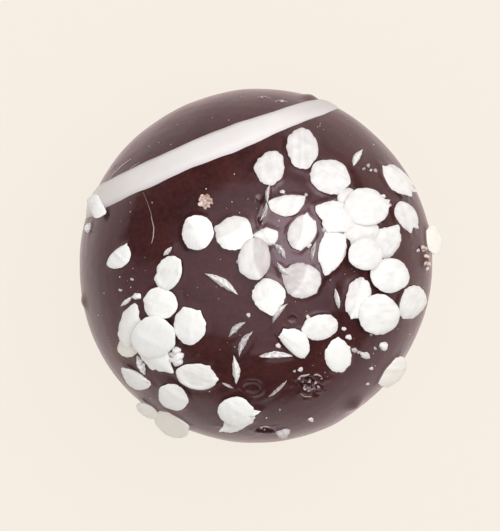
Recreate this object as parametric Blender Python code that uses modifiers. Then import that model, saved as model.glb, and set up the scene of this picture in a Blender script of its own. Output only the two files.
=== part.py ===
"""Coconut candy: an oblate ball of dark chocolate with a white stripe and coconut flakes.

Everything is fused to one solid. Units are metres, +Z is up, and the origin is the middle of the flat base.
"""
import math
import random

import bmesh
import bpy
from mathutils import Matrix, Vector

MM = 0.001
MERGE_DISTANCE = 0.01 * MM
SHARP_FROM = math.radians(40)

# Ball of chocolate
RADIUS = 15.0 * MM
RISE = 12.9 * MM
WIDEST = 11.0 * MM
FOOT = 0.9 * MM
FOOT_HEIGHT = 0.7 * MM
EDGE = 0.25 * MM
BALL_STEPS = 60
BALL_RINGS = 24
FOOT_LEVELS = (2.0 * MM, 1.2 * MM, 0.65 * MM, EDGE, 0.0)

# Unevenness of the ball: share of the radius, waves round, waves down, phase in degrees
SWELLS = (
    (0.0060, 2, 1.0, 232),
    (0.0040, 3, 2.0, 40),
    (0.0030, 5, 3.0, 115),
)

# Stripe of white chocolate, laid straight across at a heading, at a distance from the crown
STRIPE_HEADING = math.radians(22.3)
STRIPE_OFFSET = 10.6 * MM
STRIPE_BEND = 3.0
STRIPE_HALF_WIDTH = 1.16 * MM
STRIPE_HALF_WIDTH_END = 0.62 * MM
STRIPE_NARROWS_FROM = 4.0 * MM
STRIPE_HEIGHT = 0.24 * MM
STRIPE_SUNK = 0.7 * MM
STRIPE_DIP = 0.1 * MM
STRIPE_END_POWER = 12
STRIPE_WRAP = math.radians(10)
STRIPE_CUTS = (34, 8)

# Flakes
FLAKE_TOP = 0.34 * MM
FLAKE_LIFT = 0.12 * MM
FLAKE_UNDER = 0.40 * MM
LEVEL_STEP = 0.42 * MM
LEAN_LIMIT = math.radians(62)
STRETCH_LIMIT = 1.4
RIM = 0.985
FLAKE_SIDES = (12, 4)
HALF_MOON = 0.3
DROP_TIP = 0.3
TIP_SHARPNESS = 0.35
RAGGED = 0.05
TIPPING = 0.09
TIPPING_PHASES = (2.4, 1.7)
RIM_LIFT = 0.25
SEEN_HEIGHT = 0.25 * MM
SEED = 7

# Each flake as seen from above: x, y, length, width in mm, turn in degrees, outline, level in the pile
FLAKES = (
    (1.2, 8.2, 3.0, 2.4, 78, "whole", 0),
    (3.9, 9.7, 3.6, 2.7, 98, "whole", 0),
    (6.1, 7.4, 3.4, 2.8, 145, "whole", 0),
    (2.6, 5.0, 3.1, 1.7, 8, "half", 0),
    (-11.3, 0.65, 2.5, 1.5, 46, "half", 0),
    (-4.8, 2.8, 2.9, 2.6, 90, "whole", 0),
    (-7.2, -0.6, 3.1, 2.1, 62, "whole", 0),
    (-7.9, -3.1, 2.9, 2.8, 0, "whole", 0),
    (-8.6, -5.9, 3.7, 3.5, 60, "whole", 1),
    (-8.4, -7.7, 3.5, 2.5, -45, "drop", 0),
    (-10.6, -4.8, 3.8, 1.9, 80, "drop", 0),
    (-10.7, -6.8, 1.8, 1.7, 0, "whole", 0),
    (-10.1, -9.6, 2.8, 1.5, -29, "half", 0),
    (-5.5, -5.0, 3.1, 2.7, 95, "whole", 0),
    (-4.9, -9.2, 3.4, 2.1, -8, "whole", 0),
    (-6.9, -11.0, 2.7, 2.3, -35, "whole", 0),
    (-7.1, -13.4, 3.2, 2.6, -28, "whole", 0),
    (-1.8, 2.7, 3.0, 2.8, 30, "whole", 0),
    (-0.1, 0.6, 3.5, 2.6, 78, "whole", 1),
    (0.9, 2.4, 1.9, 1.4, 0, "whole", 0),
    (3.8, 2.8, 3.2, 2.2, 60, "whole", 0),
    (3.8, -1.2, 3.1, 3.0, 0, "whole", 0),
    (1.1, -2.6, 3.0, 2.7, -80, "drop", 0),
    (6.5, 4.2, 3.6, 2.8, 155, "drop", 0),
    (9.2, 4.9, 3.6, 3.1, -5, "whole", 1),
    (7.4, 5.8, 1.5, 1.2, 45, "whole", 0),
    (8.8, 2.9, 3.0, 2.2, 0, "whole", 0),
    (11.0, 2.1, 3.1, 2.4, 55, "drop", 0),
    (9.2, 1.0, 3.1, 2.6, 12, "whole", 2),
    (11.4, -0.8, 3.2, 3.1, 0, "whole", 1),
    (6.3, 1.1, 4.1, 2.3, -105, "drop", 0),
    (12.7, 4.2, 2.6, 1.8, -55, "whole", 0),
    (12.0, 7.2, 3.3, 2.1, -43, "whole", 0),
    (8.6, -2.7, 3.6, 2.2, 75, "whole", 0),
    (10.4, -4.1, 3.5, 3.4, 0, "whole", 1),
    (13.3, -3.1, 3.0, 2.4, 60, "whole", 0),
    (15.0, 2.2, 2.7, 1.2, 95, "whole", 0),
    (3.4, -6.3, 2.9, 1.9, 136, "half", 0),
    (5.4, -5.1, 2.9, 2.2, 12, "whole", 0),
    (6.9, -7.5, 2.7, 2.2, 90, "whole", 0),
    (-1.7, -12.15, 3.0, 2.3, 10, "whole", 1),
    (-1.4, -13.0, 2.9, 1.5, 26, "whole", 0),
    (11.8, -9.1, 3.1, 2.1, 50, "whole", 0),
    (-13.5, 5.05, 2.05, 1.15, -60, "whole", 1),
    (-9.1, -12.2, 2.6, 1.3, -36, "whole", 0),
)

# Slivers are flakes on edge, half sunk: x, y, length, thickness in mm, turn in degrees
SLIVER_STANDS = 0.5 * MM
SLIVER_SUNK = 0.8 * MM
SLIVER_SIDES = (8, 4)
SLIVERS = (
    (1.1, 5.9, 1.7, 0.4, 83),
    (0.6, 4.5, 1.7, 0.4, 72),
    (-7.2, 1.2, 1.0, 0.35, 48),
    (-14.0, 3.2, 0.9, 0.4, 65),
    (1.9, 1.2, 1.7, 0.5, -52),
    (4.7, 1.2, 1.8, 0.4, 75),
    (2.0, -3.9, 2.0, 0.5, 53),
    (-2.8, -1.5, 3.2, 0.75, -33),
    (6.7, -2.7, 1.7, 0.45, 100),
    (8.5, 9.1, 1.8, 0.65, 58),
    (-0.4, -12.1, 1.7, 0.5, 8),
    (-1.5, -5.2, 1.9, 0.5, 42),
    (-0.8, -6.4, 2.4, 0.6, 62),
    (-1.7, -8.5, 2.4, 0.65, 95),
    (1.8, -7.2, 3.0, 0.5, 4),
    (-2.3, -9.8, 1.0, 0.3, -25),
    (1.8, -10.1, 2.2, 0.35, 42),
    (2.3, -0.2, 1.6, 0.42, -44),
    (-9.5, -8.2, 1.8, 0.6, 112),
    (-10.6, -2.9, 1.4, 0.35, 40),
)

# Crumbs of coconut, then bumps of covered crumbs at the rim: x, y, width in mm
CRUMB_SIDES = (8, 4)
CRUMB_HEIGHT = 0.45
BUMP_HEIGHT = 0.22
CRUMBS = (
    (-4.1, 5.3, 1.35),
    (-9.8, -2.5, 0.7),
    (-6.6, -7.0, 0.75),
    (-6.5, -7.7, 1.1),
    (10.7, -6.7, 0.8),
    (9.0, -7.4, 0.9),
    (8.2, -7.0, 0.45),
)
BUMPS = (
    (-14.9, -3.1, 1.2),
    (4.7, 14.5, 1.4),
    (8.3, -11.7, 1.6),
    (14.3, 0.6, 1.3),
)


def clear_scene():
    for item in list(bpy.data.objects):
        bpy.data.objects.remove(item, do_unlink=True)


def material(name, colour, roughness):
    """Make a plain Principled material."""
    result = bpy.data.materials.new(name)
    result.use_nodes = True
    shader = result.node_tree.nodes["Principled BSDF"]
    shader.inputs["Base Color"].default_value = (*colour, 1.0)
    shader.inputs["Roughness"].default_value = roughness
    shader.inputs["Metallic"].default_value = 0.0
    result.diffuse_color = (*colour, 1.0)
    return result


def swell(longitude, polar):
    """Share by which the ball stands out of the true ellipsoid, fading to nothing at crown and base."""
    wave = 0.0
    for share, round_waves, down_waves, phase in SWELLS:
        turn = round_waves * (longitude - math.radians(phase))
        wave += share * math.cos(turn) * math.sin(down_waves * polar)
    return wave


def ball_point(longitude, polar):
    """Point on the uneven ball. The polar angle runs from 0 at the crown."""
    out = RADIUS * math.sin(polar)
    height = WIDEST + RISE * math.cos(polar)
    grown = 1.0 + swell(longitude, polar)
    out = out * grown + FOOT * math.exp(-height / FOOT_HEIGHT)
    return Vector((out * math.cos(longitude), out * math.sin(longitude), height))


def ball_angles():
    """Polar angles of the rings from the crown down to the base, closer together at the foot."""
    above_foot = math.acos((FOOT_LEVELS[0] - WIDEST) / RISE)
    angles = [above_foot * ring / BALL_RINGS for ring in range(BALL_RINGS)]
    angles += [math.acos((level - WIDEST) / RISE) for level in FOOT_LEVELS]
    return angles


def screwed(name, profile, steps):
    """Turn a profile of (radius, height) points about Z and return the turned object."""
    mesh = bpy.data.meshes.new(name)
    points = [(out, 0.0, height) for out, height in profile]
    mesh.from_pydata(points, [(i, i + 1) for i in range(len(points) - 1)], [])
    item = bpy.data.objects.new(name, mesh)
    bpy.context.scene.collection.objects.link(item)
    screw = item.modifiers.new("Turn", "SCREW")
    screw.axis = "Z"
    screw.steps = steps
    screw.render_steps = steps
    screw.use_merge_vertices = True
    screw.merge_threshold = MERGE_DISTANCE
    return item


def baked(item):
    """Replace an object's mesh by its evaluated one and drop its modifiers."""
    bpy.context.view_layer.update()
    evaluated = item.evaluated_get(bpy.context.evaluated_depsgraph_get())
    item.data = bpy.data.meshes.new_from_object(evaluated)
    item.modifiers.clear()
    return item


def make_ball(coat):
    """Turn the profile, then push each ring out by the unevenness at its place."""
    profile = []
    for polar in ball_angles():
        height = WIDEST + RISE * math.cos(polar)
        foot = FOOT * math.exp(-height / FOOT_HEIGHT) if polar > math.pi / 2 else 0.0
        profile.append((RADIUS * math.sin(polar) + foot, height))
    profile[-1] = (profile[-1][0] - EDGE, 0.0)
    profile.append((0.0, 0.0))
    ball = baked(screwed("coconut_candy", profile, BALL_STEPS))
    for vertex in ball.data.vertices:
        place = vertex.co
        ratio = min(1.0, (place.z - WIDEST) / RISE)
        grown = 1.0 + swell(math.atan2(place.y, place.x), math.acos(ratio))
        place.x *= grown
        place.y *= grown
    ball.data.materials.append(coat)
    return ball


class Seat:
    """A place on the ball as seen from above, with the plane in which a flake lies there."""

    def __init__(self, x, y):
        longitude = math.atan2(y, x)
        seen = math.hypot(x, y)
        share = min(seen / RADIUS, RIM)
        polar = math.asin(share)
        outward = Vector((math.cos(longitude), math.sin(longitude), 0.0))
        slope = math.atan2(math.sin(polar) / RADIUS, math.cos(polar) / RISE)
        lean = LEAN_LIMIT * math.tanh(slope / LEAN_LIMIT)
        self.lean = lean
        self.excess = slope - lean
        self.centre = ball_point(longitude, polar) + outward * (seen - RADIUS * share)
        self.normal = outward * math.sin(lean) + Vector((0.0, 0.0, math.cos(lean)))
        self.downhill = outward * math.cos(lean) - Vector((0.0, 0.0, math.sin(lean)))
        self.sideways = Vector((-outward.y, outward.x, 0.0))
        self.outward = outward
        self.stretch = min(1.0 / math.cos(lean), STRETCH_LIMIT)

    def point(self, across, height):
        """World point for an offset seen from above and a height over the flake's own plane."""
        down = across.dot(self.outward) * self.stretch
        side = across.dot(self.sideways)
        return self.centre + self.downhill * down + self.sideways * side + self.normal * height


def lens(name, seat, size, sides, turn, outline="whole", lift=0.0, under=0.0, tipped=(0.0, 0.0), rng=None):
    """A sphere pressed to a lens of the given length, width and height, set on its seat."""
    length, width, top = size
    flat = HALF_MOON if outline == "half" else 1.0
    tip = DROP_TIP if outline == "drop" else 0.0
    shape = bmesh.new()
    bmesh.ops.create_uvsphere(shape, u_segments=sides[0], v_segments=sides[1], radius=1.0)
    rotate = Matrix.Rotation(turn, 3, "Z")
    wobble = {}
    for vertex in shape.verts:
        along, across, up = vertex.co
        spoke = round(math.degrees(math.atan2(across, along)))
        if spoke not in wobble:
            wobble[spoke] = 1.0 + (rng.uniform(-RAGGED, RAGGED) if rng else 0.0)
        if across > 0.0:
            across *= flat
        if along > 0.0:
            along *= 1.0 + tip * math.exp(-((across / TIP_SHARPNESS) ** 2))
        along = (along - tip / 2) / (1.0 + tip / 2)
        across = (across + (1.0 - flat) / 2) * 2 / (1.0 + flat)
        offset = Vector((along * length / 2, across * width / 2, 0.0)) * wobble[spoke]
        height = lift + up * (top if up > 0.0 else under)
        height += offset.x * tipped[0] + offset.y * tipped[1]
        vertex.co = seat.point(rotate @ offset, height)
    mesh = bpy.data.meshes.new(name)
    shape.to_mesh(mesh)
    shape.free()
    return bpy.data.objects.new(name, mesh)


def flake_seat(x, y, width, level):
    """The seat of a flake whose raised middle is seen at x, y, and how far the flake is raised."""
    seat = Seat(x * MM, y * MM)
    raised = level * LEVEL_STEP + math.sin(seat.excess) * width * MM * RIM_LIFT
    inwards = (SEEN_HEIGHT + raised) * math.sin(seat.lean) / math.hypot(x, y)
    seat = Seat(x * (MM - inwards), y * (MM - inwards))
    raised = level * LEVEL_STEP + math.sin(seat.excess) * width * MM * RIM_LIFT
    return seat, raised


def make_flakes(coat):
    rng = random.Random(SEED)
    made = []
    for index, (x, y, length, width, turn, outline, level) in enumerate(FLAKES):
        seat, raised = flake_seat(x, y, width, level)
        size = (length * MM, width * MM, FLAKE_TOP)
        lift = FLAKE_LIFT + raised
        under = FLAKE_UNDER + 2 * lift
        tipped = [TIPPING * math.sin(phase * index) for phase in TIPPING_PHASES]
        flake = lens("flake", seat, size, FLAKE_SIDES, math.radians(turn), outline, lift, under, tipped, rng)
        flake.data.materials.append(coat)
        made.append(flake)
    return made


def make_slivers(coat):
    made = []
    for x, y, length, width, turn in SLIVERS:
        seat = Seat(x * MM, y * MM)
        size = (length * MM, width * MM, SLIVER_STANDS)
        sliver = lens("sliver", seat, size, SLIVER_SIDES, math.radians(turn), under=SLIVER_SUNK)
        sliver.data.materials.append(coat)
        made.append(sliver)
    return made


def make_lumps(places, share, coat):
    """Low round lumps whose height is a share of their width."""
    made = []
    for x, y, width in places:
        size = (width * MM, width * MM, width * MM * share)
        lump = lens("lump", Seat(x * MM, y * MM), size, CRUMB_SIDES, 0.0, under=width * MM / 2)
        lump.data.materials.append(coat)
        made.append(lump)
    return made


def stripe_point(along, across):
    """Point on the stripe's upper face. Along runs from -1 to 1 past both rims, across from -1 to 1."""
    turn = along * (math.pi / 2 + STRIPE_WRAP)
    ahead = math.sqrt(RADIUS ** 2 - STRIPE_OFFSET ** 2) * math.sin(turn)
    narrowed = max(0.0, ahead - STRIPE_NARROWS_FROM) / (RADIUS - STRIPE_NARROWS_FROM)
    half = STRIPE_HALF_WIDTH + (STRIPE_HALF_WIDTH_END - STRIPE_HALF_WIDTH) * narrowed
    aside = STRIPE_OFFSET - STRIPE_BEND * ahead ** 2 + across * half
    ring = math.sqrt(RADIUS ** 2 - aside ** 2)
    slice_point = Vector((ring * math.sin(turn), aside, ring / RADIUS * RISE * math.cos(turn)))
    slice_point.rotate(Matrix.Rotation(STRIPE_HEADING, 3, "Z"))
    polar = math.acos(slice_point.z / RISE)
    longitude = math.atan2(slice_point.y, slice_point.x)
    normal = Vector((slice_point.x / RADIUS ** 2, slice_point.y / RADIUS ** 2, slice_point.z / RISE ** 2))
    end_fade = 1.0 - abs(along) ** STRIPE_END_POWER
    height = STRIPE_HEIGHT * end_fade - (STRIPE_HEIGHT + STRIPE_DIP) * across ** 4
    return ball_point(longitude, polar) + normal.normalized() * height


def make_stripe(coat):
    """A grid bent over the ball along the stripe's path, and thickened into the chocolate."""
    shape = bmesh.new()
    bmesh.ops.create_grid(shape, x_segments=STRIPE_CUTS[0], y_segments=STRIPE_CUTS[1], size=1.0)
    for vertex in shape.verts:
        vertex.co = stripe_point(vertex.co.x, vertex.co.y)
    mesh = bpy.data.meshes.new("stripe")
    shape.to_mesh(mesh)
    shape.free()
    stripe = bpy.data.objects.new("stripe", mesh)
    bpy.context.scene.collection.objects.link(stripe)
    depth = stripe.modifiers.new("Depth", "SOLIDIFY")
    depth.thickness = STRIPE_SUNK
    depth.offset = -1.0
    baked(stripe)
    bpy.context.scene.collection.objects.unlink(stripe)
    stripe.data.materials.append(coat)
    return stripe


def keep_largest_shell(mesh):
    """Fill sealed hollows and drop loose scraps, which are the smaller shells of the mesh."""
    shape = bmesh.new()
    shape.from_mesh(mesh)
    unseen = set(shape.verts)
    shells = []
    while unseen:
        queue = [unseen.pop()]
        shell = list(queue)
        while queue:
            for edge in queue.pop().link_edges:
                for vertex in edge.verts:
                    if vertex in unseen:
                        unseen.remove(vertex)
                        queue.append(vertex)
                        shell.append(vertex)
        shells.append(shell)
    shells.sort(key=len, reverse=True)
    for shell in shells[1:]:
        bmesh.ops.delete(shape, geom=shell, context="VERTS")
    shape.to_mesh(mesh)
    shape.free()


def fuse(ball, pieces):
    """Join all the pieces to the ball by one union, and remove them."""
    operands = bpy.data.collections.new("Toppings")
    bpy.context.scene.collection.children.link(operands)
    for piece in pieces:
        operands.objects.link(piece)
    union = ball.modifiers.new("Fuse", "BOOLEAN")
    union.operation = "UNION"
    union.operand_type = "COLLECTION"
    union.collection = operands
    union.solver = "EXACT"
    union.material_mode = "TRANSFER"
    baked(ball)
    for piece in pieces:
        bpy.data.objects.remove(piece, do_unlink=True)
    bpy.data.collections.remove(operands)
    keep_largest_shell(ball.data)


def main():
    clear_scene()
    home = bpy.data.collections.new("Coconut candy")
    bpy.context.scene.collection.children.link(home)
    chocolate = material("Dark chocolate", (0.045, 0.018, 0.013), 0.22)
    white = material("White chocolate", (0.80, 0.74, 0.66), 0.35)
    coconut = material("Coconut", (0.90, 0.88, 0.82), 0.75)

    candy = make_ball(chocolate)
    pieces = [make_stripe(white)] + make_flakes(coconut) + make_slivers(coconut)
    pieces += make_lumps(CRUMBS, CRUMB_HEIGHT, coconut) + make_lumps(BUMPS, BUMP_HEIGHT, chocolate)
    fuse(candy, pieces)
    bpy.context.scene.collection.objects.unlink(candy)
    home.objects.link(candy)
    candy.data.shade_smooth()
    candy.data.set_sharp_from_angle(angle=SHARP_FROM)


main()
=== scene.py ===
"""Coconut candy: a round dark chocolate candy with a white stripe, strewn with coconut flakes.

Lengths are in metres. The candy stands on the floor at z = 0, crown up, and is seen from above.
"""
import math
import random

import bpy
import numpy as np
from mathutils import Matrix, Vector


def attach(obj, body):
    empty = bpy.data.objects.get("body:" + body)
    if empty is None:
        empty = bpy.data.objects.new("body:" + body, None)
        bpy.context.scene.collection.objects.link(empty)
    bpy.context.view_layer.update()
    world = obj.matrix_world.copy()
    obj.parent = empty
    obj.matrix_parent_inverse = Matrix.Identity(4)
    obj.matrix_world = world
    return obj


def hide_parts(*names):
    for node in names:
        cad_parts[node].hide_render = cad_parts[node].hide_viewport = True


bl_info = {
    "name": "Coconut candy",
    "version": (1, 0, 0),
    "blender": (4, 5, 0),
    "location": "View3D > Sidebar > Candy",
    "description": "Builds a round chocolate candy with a white stripe and coconut flakes",
    "category": "Add Mesh",
}

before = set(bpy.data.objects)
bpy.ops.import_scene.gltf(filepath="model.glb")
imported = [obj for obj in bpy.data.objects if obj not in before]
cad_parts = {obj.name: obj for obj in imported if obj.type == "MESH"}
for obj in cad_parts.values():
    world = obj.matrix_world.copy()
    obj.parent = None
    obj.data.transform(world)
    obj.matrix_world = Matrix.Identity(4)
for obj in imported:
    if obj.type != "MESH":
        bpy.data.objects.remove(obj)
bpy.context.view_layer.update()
NODE = "coconut_candy"
BODY = "root"

MM = 0.001
UP = np.array((0.0, 0.0, 1.0))
GOLDEN_ANGLE = math.pi * (3.0 - math.sqrt(5.0))
SEED = 7
SEED_RANGE = 10000
RIPPLE_WAVES = 9
RIPPLE_SPREAD = (0.6, 1.6)
FLAKE_SEED = 700

# Ball of chocolate, with the heights of the rings of its foot in mm
RADIUS = 15.0 * MM
RISE = 12.9 * MM
WIDEST = 11.0 * MM
FOOT = 0.9 * MM
FOOT_HEIGHT = 0.7 * MM
FOOT_LEVELS = (2.0, 1.5, 1.1, 0.75, 0.45, 0.25, 0.08, 0.0)
CAP_POLAR = math.radians(96)
CAP_RINGS = 130
LOWER_RINGS = 34
BALL_SPOKES = 560

# Unevenness of the ball: share of the radius, waves round, waves down, phase in degrees
SWELLS = (
    (0.0060, 2, 1.0, 232),
    (0.0040, 3, 2.0, 40),
    (0.0030, 5, 3.0, 115),
)

# The coat's slow waves have finer ones on them and fade out near the base
FINE_SHARE = 0.2
FINE_TIMES = 4
PLAIN_BELOW = 1.5 * MM
PLAIN_FADE = 3.0 * MM

# Fillets where the coat climbs, narrower inside a flake's outline, where the coat lies lower
FILLET_INSIDE = 0.6
COAT_LOWER = 0.06 * MM
SLIVER_FILLET = 0.5
SLIVER_FILLET_WIDTH = 0.45
SLIVER_MARGINS = (0.2, 0.25)

# Stripe of white chocolate, laid straight across at a heading, at a distance from the crown
STRIPE_HEADING = math.radians(22.3)
STRIPE_OFFSET = 10.6 * MM
STRIPE_BEND = 3.0
STRIPE_HALF_WIDTH_END = 0.62 * MM
STRIPE_NARROWS_FROM = 4.0 * MM
STRIPE_WRAP = math.radians(10)
STRIPE_SUNK = 0.5 * MM
STRIPE_DIP = 0.06 * MM
STRIPE_END_POWER = 12
STRIPE_TIP_POWER = 60
STRIPE_TIP_LEAST = 0.02
STRIPE_EDGE_POWER = 3
STRIPE_SIDE_POWER = 0.7
STRIPE_RIPPLE = 0.012 * MM
STRIPE_RIPPLE_LENGTH = 3.0 * MM
STRIPE_WAVES = (
    (0.025, 1.9 * MM, 0.4),
    (0.018, 0.8 * MM, 1.9),
    (0.010, 0.37 * MM, 4.0),
)
STRIPE_STATIONS = 300
STRIPE_SPOKES = 56

# Where the stripe is thin: at its edges from a share of the half width, less on the side of the crown.
# Towards its far end, which faces the light, it is darkened towards the edge colour: painted shade
THIN_FROM = 0.55
THIN_POWER = 1.5
THIN_CROWN_SIDE = 0.7
END_PAINTED_SHADE = 0.88
END_SHADE_FROM = 6.0 * MM
END_SHADE_LENGTH = 8.0 * MM

# How flakes lie
LEVEL_STEP = 0.42 * MM
LEAN_LIMIT = math.radians(62)
STRETCH_LIMIT = 1.4
RIM = 0.985
RIM_LIFT = 0.25
SEEN_HEIGHT = 0.25 * MM
TIPPING = 0.09
TIPPING_PHASES = (2.4, 1.7)

# Outlines of flakes, with ragged waves and scallops by chance
HALF_MOON = 0.3
DROP_TIP = 0.3
TIP_SHARPNESS = 0.35
QUAD_POWER = 5.0
FLAKE_SPOKES = 110
FLAKE_RINGS = 16
FLAKE_UNDER_SHARES = (0.985, 0.85, 0.4)
FLAKE_RAGGED = 0.015
FLAKE_SCALLOPS = 0.028
FLAKE_LOPSIDED = 0.07
ROUGH_FLAKE = (0.5, 1.3)
SMOOTH_FLAKE = 0.45
RAGGED_WAVES = range(3, 24)
RAGGED_FALL = 0.3
LOPSIDED_WAVES = range(2, 6)
SCALLOP_ROUNDS = (7, 9, 11, 13)
SCALLOP_SIZES = (0.3, 1.0)
MEAN_OF_SINE = 2 / math.pi

# Relief of flakes
FLAKE_EDGE = 0.045 * MM
FLAKE_UNDER = 0.15 * MM
FLAKE_UNDER_LIFT = 0.5
FLATNESS = (0.3, 0.75)
FLAT_POWER = 7
FLAKE_FOLD = 0.05 * MM
FOLD_WIDTH = 0.2
FOLD_BASE = 0.4
FLAKE_CURL = 0.10
FLAKE_WARP = 0.09 * MM
CHANCE_WAVES = (2, 3, 5)
DISH_RIM_AT = 0.85
DISH_RIM_WIDTH = 0.14
DISH_RIM_MIDDLE = 0.6
DISH_RIM_UNEVEN = 0.4
DISH_BODY_SHARE = 0.55
DISH_RIM_SHARE = 0.45
CREASE_BEND = 0.25
CREASE_RISE = 1.12
CREASE_FALL = 0.4
CREASE_SOFT = 0.08
FIBRE_SPACING = 0.30 * MM
FIBRE_STRETCH = 0.2
FIBRE_HEIGHT = 0.0045 * MM
FLAKE_MOTTLE_LENGTH = 0.9 * MM
FLAKE_MOTTLE_HEIGHT = 0.010 * MM
RELIEF_FADE_POWER = 6

# Shades of flakes. These are painted light and shade: the slope across the candy, the darker middles of
# dished flakes, and the lighter and darker sides and bright line of a crease
# Flakes towards the upper right, where the light is strong, are painted darker, and those towards the lower
# left lighter: painted shade and painted light that even out the light
PAINTED_LIGHT_SLOPE = 0.007
EDGE_SOAK = 0.10
SOAK_POWER = 8
SHADE_MOTTLE = 0.02
SHADE_MOTTLE_LENGTH = 0.8 * MM
FIBRE_SHADE = 0.015
# The middle of a dished flake is painted darker: painted shade in its hollow
DISH_PAINTED_SHADE = 0.10
# Creases: one side is painted lighter and the other darker, painted light and shade of the fold's two faces
CREASE_PAINTED_SHADE_STEP = 0.085
CREASE_SHADE_STEP_WIDTH = 0.1
# A painted highlight along the line of a crease
CREASE_PAINTED_HIGHLIGHT = 0.06
CREASE_HIGHLIGHT_WIDTH = 0.12


def row(x, y, length, width, turn, shade, *nubs, outline="whole", level=0, relief="dome", cream=0.0):
    """A flake as seen from above: place, length and width in mm, turn in degrees, shade from soaked 0 to
    white 1, nubs on its edge as (direction in degrees, share, spread in degrees), outline, level in the pile,
    relief, where a number is the direction of a crease in degrees, and creaminess. The shade holds the
    flake's own tone and, for flakes that get much light, painted shade that tones them down."""
    return x, y, length, width, turn, outline, level, relief, shade, cream, nubs


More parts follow.
